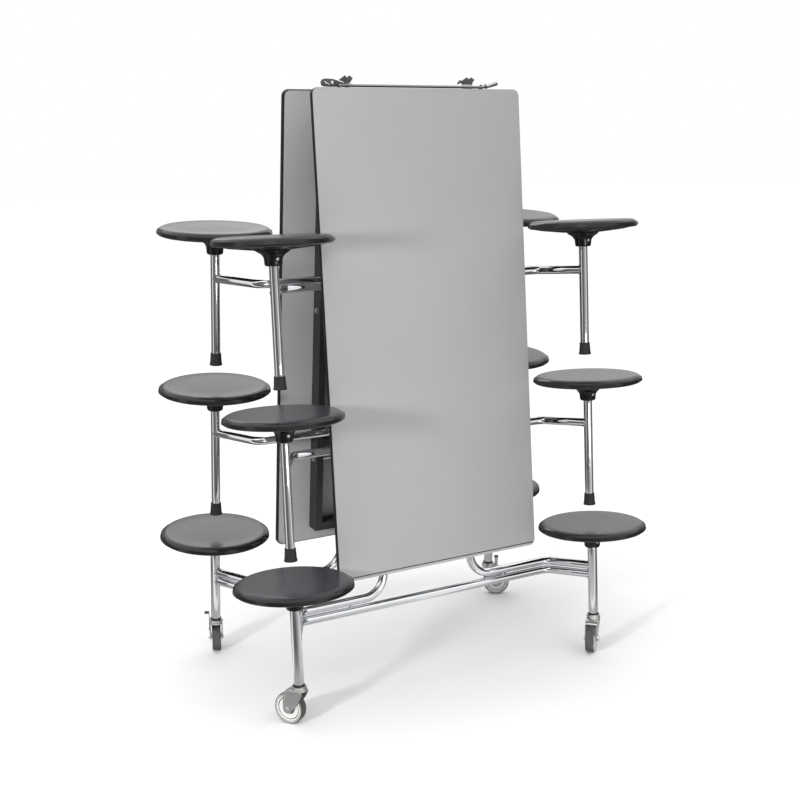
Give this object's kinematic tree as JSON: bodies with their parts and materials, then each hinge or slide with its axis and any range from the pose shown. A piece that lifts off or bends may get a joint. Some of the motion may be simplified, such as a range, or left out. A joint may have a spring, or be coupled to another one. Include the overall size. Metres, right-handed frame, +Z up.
{
  "type": "folding table with attached swivel stools",
  "caption": "Mobile folding dining table, shown folded upright, with grey laminate halves, chrome tube frames, round black swivel stools and swivel casters.",
  "frame": {"origin": "on the floor under the centre of the folded table", "axes": "+Z up; +X along the width of the table halves; the front half lies on -Y and the back half on +Y"},
  "size_m": [1.506, 0.9692, 1.9455],
  "materials": {
    "laminate": "light grey laminate on a board core",
    "edge": "black moulded edge",
    "dark_paint": "black powder coat",
    "grey_paint": "grey powder coat",
    "chrome": "bright chrome plate",
    "zinc": "zinc plated steel",
    "seat_plastic": "satin charcoal plastic",
    "hub_plastic": "black moulded plastic",
    "foot_rubber": "black rubber",
    "wheel_rubber": "grey tread on a light core"
  },
  "bodies": {
    "centre_carriage": {"centre_carriage": "dark_paint", "fold_pins": "zinc"},
    "front_table_half": {"front_tabletop": "laminate", "front_edge_band": "edge", "front_underframe": "dark_paint", "front_underframe_fasteners": "zinc", "keeper_plates": "dark_paint"},
    "front_top_stool_frame": {"front_top_stool_frame": "chrome", "front_top_seat_hubs": "hub_plastic", "front_top_fasteners": "zinc", "front_top_feet": "foot_rubber"},
    "front_top_left_seat": {"front_top_left_seat": "seat_plastic"},
    "front_top_right_seat": {"front_top_right_seat": "seat_plastic"},
    "front_mid_stool_frame": {"front_mid_stool_frame": "chrome", "front_mid_seat_hubs": "hub_plastic", "front_mid_fasteners": "zinc", "front_mid_feet": "foot_rubber"},
    "front_mid_left_seat": {"front_mid_left_seat": "seat_plastic"},
    "front_mid_right_seat": {"front_mid_right_seat": "seat_plastic"},
    "front_leg_frame": {"front_leg_frame": "chrome", "front_leg_seat_hubs": "hub_plastic", "front_leg_fasteners": "zinc", "front_caster_stems": "zinc"},
    "front_leg_left_seat": {"front_leg_left_seat": "seat_plastic"},
    "front_leg_right_seat": {"front_leg_right_seat": "seat_plastic"},
    "front_link_bars": {"front_link_bars": "grey_paint"},
    "back_table_half": {"back_tabletop": "laminate", "back_edge_band": "edge", "back_underframe": "dark_paint", "back_underframe_fasteners": "zinc"},
    "back_top_stool_frame": {"back_top_stool_frame": "chrome", "back_top_seat_hubs": "hub_plastic", "back_top_fasteners": "zinc", "back_top_feet": "foot_rubber"},
    "back_top_left_seat": {"back_top_left_seat": "seat_plastic"},
    "back_top_right_seat": {"back_top_right_seat": "seat_plastic"},
    "back_mid_stool_frame": {"back_mid_stool_frame": "chrome", "back_mid_seat_hubs": "hub_plastic", "back_mid_fasteners": "zinc", "back_mid_feet": "foot_rubber"},
    "back_mid_left_seat": {"back_mid_left_seat": "seat_plastic"},
    "back_mid_right_seat": {"back_mid_right_seat": "seat_plastic"},
    "back_leg_frame": {"back_leg_frame": "chrome", "back_leg_seat_hubs": "hub_plastic", "back_leg_fasteners": "zinc", "back_caster_stems": "zinc"},
    "back_leg_left_seat": {"back_leg_left_seat": "seat_plastic"},
    "back_leg_right_seat": {"back_leg_right_seat": "seat_plastic"},
    "back_link_bars": {"back_link_bars": "grey_paint"},
    "front_left_caster": {"front_left_caster_fork": "zinc"},
    "front_left_wheel": {"front_left_wheel": "wheel_rubber"},
    "front_right_caster": {"front_right_caster_fork": "zinc"},
    "front_right_wheel": {"front_right_wheel": "wheel_rubber"},
    "back_left_caster": {"back_left_caster_fork": "zinc"},
    "back_left_wheel": {"back_left_wheel": "wheel_rubber"},
    "back_left_brake_pedal": {"back_left_brake_pedal": "zinc"},
    "back_right_caster": {"back_right_caster_fork": "zinc"},
    "back_right_wheel": {"back_right_wheel": "wheel_rubber"},
    "back_right_brake_pedal": {"back_right_brake_pedal": "zinc"},
    "release_bar": {"release_bar": "chrome"}
  },
  "joints": [
    {"name": "front_fold", "type": "hinge", "parent": "centre_carriage", "child": "front_table_half", "pos_m": [0, -0.06342, 1.842], "axis": [-1, 0, 0], "range_deg": [0, 85.07]},
    {"name": "front_top_frame_pivot", "type": "hinge", "parent": "front_table_half", "child": "front_top_stool_frame", "pos_m": [0, -0.07408, 1.71846], "axis": [-1, 0, 0], "range_deg": [-88.82, 0]},
    {"name": "front_top_left_seat_swivel", "type": "hinge", "parent": "front_top_stool_frame", "child": "front_top_left_seat", "pos_m": [-0.571, -0.21313, 1.48194], "axis": [0, 0.0645, 0.9979], "continuous": true},
    {"name": "front_top_right_seat_swivel", "type": "hinge", "parent": "front_top_stool_frame", "child": "front_top_right_seat", "pos_m": [0.571, -0.21313, 1.48194], "axis": [0, 0.0645, 0.9979], "continuous": true},
    {"name": "front_mid_frame_pivot", "type": "hinge", "parent": "front_table_half", "child": "front_mid_stool_frame", "pos_m": [0, -0.11876, 1.20038], "axis": [-1, 0, 0], "range_deg": [-88.82, 0]},
    {"name": "front_mid_left_seat_swivel", "type": "hinge", "parent": "front_mid_stool_frame", "child": "front_mid_left_seat", "pos_m": [-0.571, -0.25782, 0.96386], "axis": [0, 0.0645, 0.9979], "continuous": true},
    {"name": "front_mid_right_seat_swivel", "type": "hinge", "parent": "front_mid_stool_frame", "child": "front_mid_right_seat", "pos_m": [0.571, -0.25782, 0.96386], "axis": [0, 0.0645, 0.9979], "continuous": true},
    {"name": "front_leg_frame_pivot", "type": "hinge", "parent": "front_table_half", "child": "front_leg_frame", "pos_m": [0, -0.16276, 0.69028], "axis": [-1, 0, 0], "range_deg": [-88.82, 0]},
    {"name": "front_leg_left_seat_swivel", "type": "hinge", "parent": "front_leg_frame", "child": "front_leg_left_seat", "pos_m": [-0.571, -0.30182, 0.45376], "axis": [0, 0.0645, 0.9979], "continuous": true},
    {"name": "front_leg_right_seat_swivel", "type": "hinge", "parent": "front_leg_frame", "child": "front_leg_right_seat", "pos_m": [0.571, -0.30182, 0.45376], "axis": [0, 0.0645, 0.9979], "continuous": true},
    {"name": "front_link_pivot", "type": "hinge", "parent": "front_leg_frame", "child": "front_link_bars", "pos_m": [0, -0.13196, 0.65522], "axis": [-1, 0, 0], "range_deg": [0, 88.82]},
    {"name": "back_fold", "type": "hinge", "parent": "centre_carriage", "child": "back_table_half", "pos_m": [0, 0.06342, 1.842], "axis": [1, 0, 0], "range_deg": [0, 85.07]},
    {"name": "back_top_frame_pivot", "type": "hinge", "parent": "back_table_half", "child": "back_top_stool_frame", "pos_m": [0, 0.07408, 1.71846], "axis": [1, 0, 0], "range_deg": [-88.82, 0]},
    {"name": "back_top_left_seat_swivel", "type": "hinge", "parent": "back_top_stool_frame", "child": "back_top_left_seat", "pos_m": [-0.571, 0.21313, 1.48194], "axis": [0, -0.0645, 0.9979], "continuous": true},
    {"name": "back_top_right_seat_swivel", "type": "hinge", "parent": "back_top_stool_frame", "child": "back_top_right_seat", "pos_m": [0.571, 0.21313, 1.48194], "axis": [0, -0.0645, 0.9979], "continuous": true},
    {"name": "back_mid_frame_pivot", "type": "hinge", "parent": "back_table_half", "child": "back_mid_stool_frame", "pos_m": [0, 0.11876, 1.20038], "axis": [1, 0, 0], "range_deg": [-88.82, 0]},
    {"name": "back_mid_left_seat_swivel", "type": "hinge", "parent": "back_mid_stool_frame", "child": "back_mid_left_seat", "pos_m": [-0.571, 0.25782, 0.96386], "axis": [0, -0.0645, 0.9979], "continuous": true},
    {"name": "back_mid_right_seat_swivel", "type": "hinge", "parent": "back_mid_stool_frame", "child": "back_mid_right_seat", "pos_m": [0.571, 0.25782, 0.96386], "axis": [0, -0.0645, 0.9979], "continuous": true},
    {"name": "back_leg_frame_pivot", "type": "hinge", "parent": "back_table_half", "child": "back_leg_frame", "pos_m": [0, 0.16276, 0.69028], "axis": [1, 0, 0], "range_deg": [-88.82, 0]},
    {"name": "back_leg_left_seat_swivel", "type": "hinge", "parent": "back_leg_frame", "child": "back_leg_left_seat", "pos_m": [-0.571, 0.30182, 0.45376], "axis": [0, -0.0645, 0.9979], "continuous": true},
    {"name": "back_leg_right_seat_swivel", "type": "hinge", "parent": "back_leg_frame", "child": "back_leg_right_seat", "pos_m": [0.571, 0.30182, 0.45376], "axis": [0, -0.0645, 0.9979], "continuous": true},
    {"name": "back_link_pivot", "type": "hinge", "parent": "back_leg_frame", "child": "back_link_bars", "pos_m": [0, 0.13196, 0.65522], "axis": [1, 0, 0], "range_deg": [0, 88.82]},
    {"name": "front_left_swivel", "type": "hinge", "parent": "front_leg_frame", "child": "front_left_caster", "pos_m": [-0.571, -0.32292, 0.11], "axis": [0, 0, 1], "continuous": true},
    {"name": "front_left_wheel_spin", "type": "hinge", "parent": "front_left_caster", "child": "front_left_wheel", "pos_m": [-0.58796, -0.29578, 0.05], "axis": [-0.848, -0.5299, 0], "continuous": true},
    {"name": "front_right_swivel", "type": "hinge", "parent": "front_leg_frame", "child": "front_right_caster", "pos_m": [0.571, -0.32292, 0.11], "axis": [0, 0, 1], "continuous": true},
    {"name": "front_right_wheel_spin", "type": "hinge", "parent": "front_right_caster", "child": "front_right_wheel", "pos_m": [0.54722, -0.34433, 0.05], "axis": [0.6691, -0.7431, 0], "continuous": true},
    {"name": "back_left_swivel", "type": "hinge", "parent": "back_leg_frame", "child": "back_left_caster", "pos_m": [-0.571, 0.32292, 0.11], "axis": [0, 0, 1], "continuous": true},
    {"name": "back_left_wheel_spin", "type": "hinge", "parent": "back_left_caster", "child": "back_left_wheel", "pos_m": [-0.55901, 0.35259, 0.05], "axis": [-0.9272, 0.3746, 0], "continuous": true},
    {"name": "back_left_brake_press", "type": "hinge", "parent": "back_left_caster", "child": "back_left_brake_pedal", "pos_m": [-0.55789, 0.35537, 0.077], "axis": [0.9272, -0.3746, 0], "range_deg": [0, 6]},
    {"name": "back_right_swivel", "type": "hinge", "parent": "back_leg_frame", "child": "back_right_caster", "pos_m": [0.571, 0.32292, 0.11], "axis": [0, 0, 1], "continuous": true},
    {"name": "back_right_wheel_spin", "type": "hinge", "parent": "back_right_caster", "child": "back_right_wheel", "pos_m": [0.59721, 0.30456, 0.05], "axis": [0.5736, 0.8192, 0], "continuous": true},
    {"name": "back_right_brake_press", "type": "hinge", "parent": "back_right_caster", "child": "back_right_brake_pedal", "pos_m": [0.59967, 0.30284, 0.077], "axis": [-0.5736, -0.8192, 0], "range_deg": [0, 6]},
    {"name": "release_bar_pull", "type": "hinge", "parent": "front_table_half", "child": "release_bar", "pos_m": [0, -0.06235, 1.866], "axis": [-1, 0, 0], "range_deg": [0, 18], "stiffness_Nm_per_rad": 1.5, "springref_deg": -22.92}
  ],
  "couplings": [
    {"joint": "front_top_frame_pivot", "follows": "front_fold", "ratio": -1.0435},
    {"joint": "front_mid_frame_pivot", "follows": "front_fold", "ratio": -1.0435},
    {"joint": "front_leg_frame_pivot", "follows": "front_fold", "ratio": -1.0435},
    {"joint": "front_link_pivot", "follows": "front_fold", "ratio": 1.0435},
    {"joint": "back_fold", "follows": "front_fold", "ratio": 1},
    {"joint": "back_top_frame_pivot", "follows": "front_fold", "ratio": -1.0435},
    {"joint": "back_mid_frame_pivot", "follows": "front_fold", "ratio": -1.0435},
    {"joint": "back_leg_frame_pivot", "follows": "front_fold", "ratio": -1.0435},
    {"joint": "back_link_pivot", "follows": "front_fold", "ratio": 1.0435}
  ]
}
